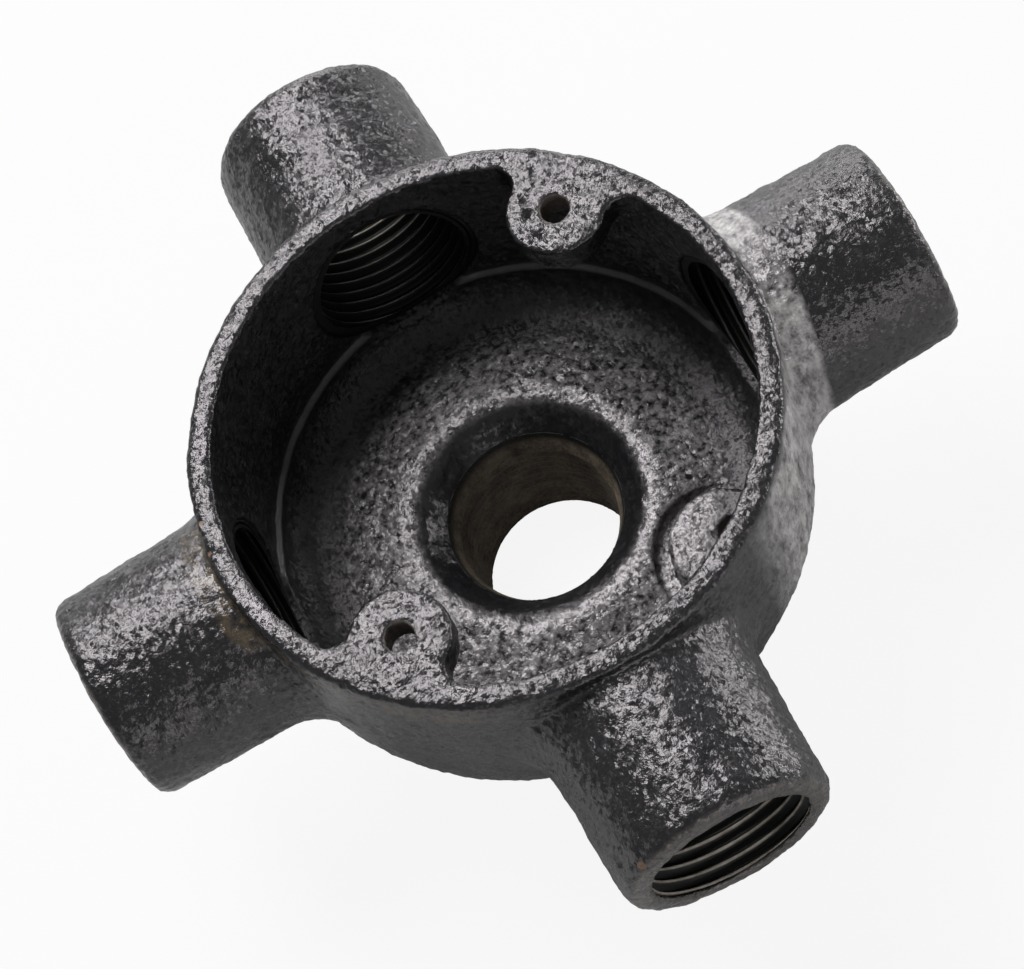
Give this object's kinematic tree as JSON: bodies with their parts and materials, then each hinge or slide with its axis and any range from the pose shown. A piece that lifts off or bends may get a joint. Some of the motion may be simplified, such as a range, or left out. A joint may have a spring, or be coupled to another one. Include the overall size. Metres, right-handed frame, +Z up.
{
  "type": "conduit box",
  "caption": "Round cast-iron conduit box, open on top, with threaded side spouts at right angles, a threaded back outlet, drilled cover lugs and an earth boss.",
  "frame": {"origin": "middle of the box in plan, at the end face of the back outlet that it stands on", "axes": "+Z up along the box's axis, out of the open mouth; +X, +Y, -X and -Y along the side spouts; the earth boss lies between +X and -Y"},
  "size_m": [0.1016, 0.1016, 0.047],
  "materials": {
    "enamelled_iron": "gloss black enamel over coarse sand-cast iron, bare grey-brown metal in the threads, a few rust specks"
  },
  "bodies": {
    "root": {"box_casting": "enamelled_iron"}
  },
  "joints": []
}
